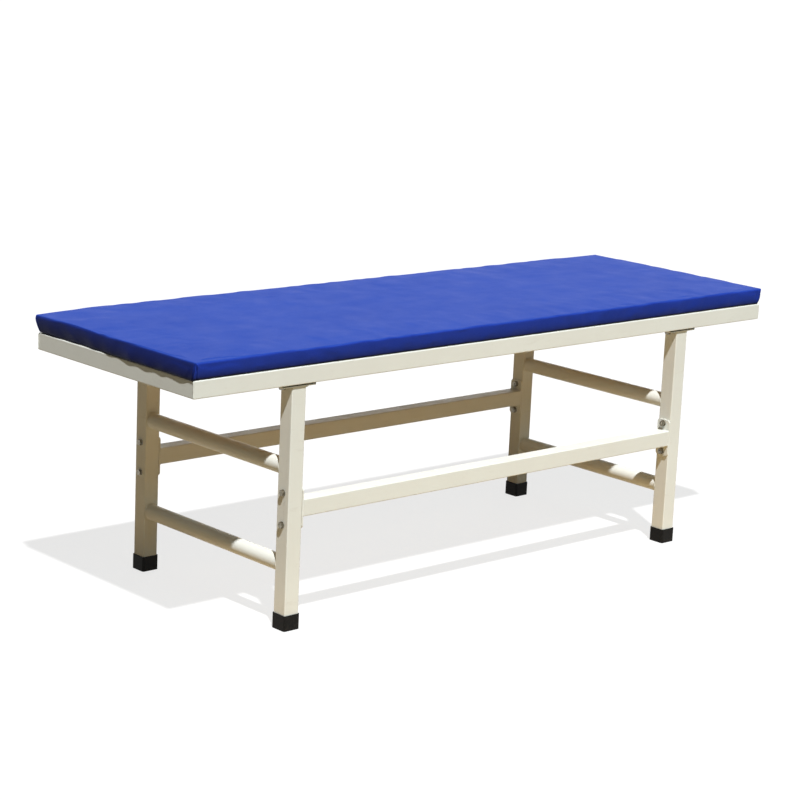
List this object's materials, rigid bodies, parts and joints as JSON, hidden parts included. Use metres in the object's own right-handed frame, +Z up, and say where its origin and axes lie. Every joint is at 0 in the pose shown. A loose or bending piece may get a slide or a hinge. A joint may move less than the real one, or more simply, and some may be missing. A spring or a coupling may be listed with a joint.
{
  "type": "massage table",
  "caption": "Low massage bench: flat blue vinyl pad on a mitred cream steel tube frame, square legs with round crossbars, bolted stretchers and black foot caps.",
  "frame": {"origin": "on the floor, under the middle of the pad", "axes": "+X along the table's length, +Y from its front to its back, +Z up"},
  "size_m": [1.854, 0.606, 0.6495],
  "materials": {
    "frame_paint": "satin",
    "zinc_steel": "satin",
    "shim_rubber": "matte",
    "foot_rubber": "matte",
    "pad_vinyl": "satin",
    "pad_foam": "matte",
    "pad_board": "matte"
  },
  "bodies": {
    "root": {"rail_front": "frame_paint", "rail_back": "frame_paint", "rail_left": "frame_paint", "rail_right": "frame_paint", "cross_member_left": "frame_paint", "cross_member_middle": "frame_paint", "cross_member_right": "frame_paint", "crossbar_upper_left": "frame_paint", "crossbar_lower_left": "frame_paint", "crossbar_upper_right": "frame_paint", "crossbar_lower_right": "frame_paint", "stretcher_front": "frame_paint", "stretcher_back": "frame_paint", "leg_front_left": "frame_paint", "leg_plate_front_left": "frame_paint", "end_plate_front_left": "frame_paint", "shim_front_left": "shim_rubber", "foot_cap_front_left": "foot_rubber", "leg_front_right": "frame_paint", "leg_plate_front_right": "frame_paint", "end_plate_front_right": "frame_paint", "shim_front_right": "shim_rubber", "foot_cap_front_right": "foot_rubber", "leg_back_left": "frame_paint", "leg_plate_back_left": "frame_paint", "end_plate_back_left": "frame_paint", "shim_back_left": "shim_rubber", "foot_cap_back_left": "foot_rubber", "leg_back_right": "frame_paint", "leg_plate_back_right": "frame_paint", "end_plate_back_right": "frame_paint", "shim_back_right": "shim_rubber", "foot_cap_back_right": "foot_rubber", "board_screws": "zinc_steel", "stretcher_bolts": "zinc_steel", "stretcher_washers": "zinc_steel", "stretcher_nuts": "zinc_steel", "plate_bolts": "zinc_steel", "plate_washers": "zinc_steel", "plate_nuts": "zinc_steel", "pad_cover": "pad_vinyl", "pad_foam": "pad_foam", "pad_board": "pad_board"}
  },
  "joints": []
}
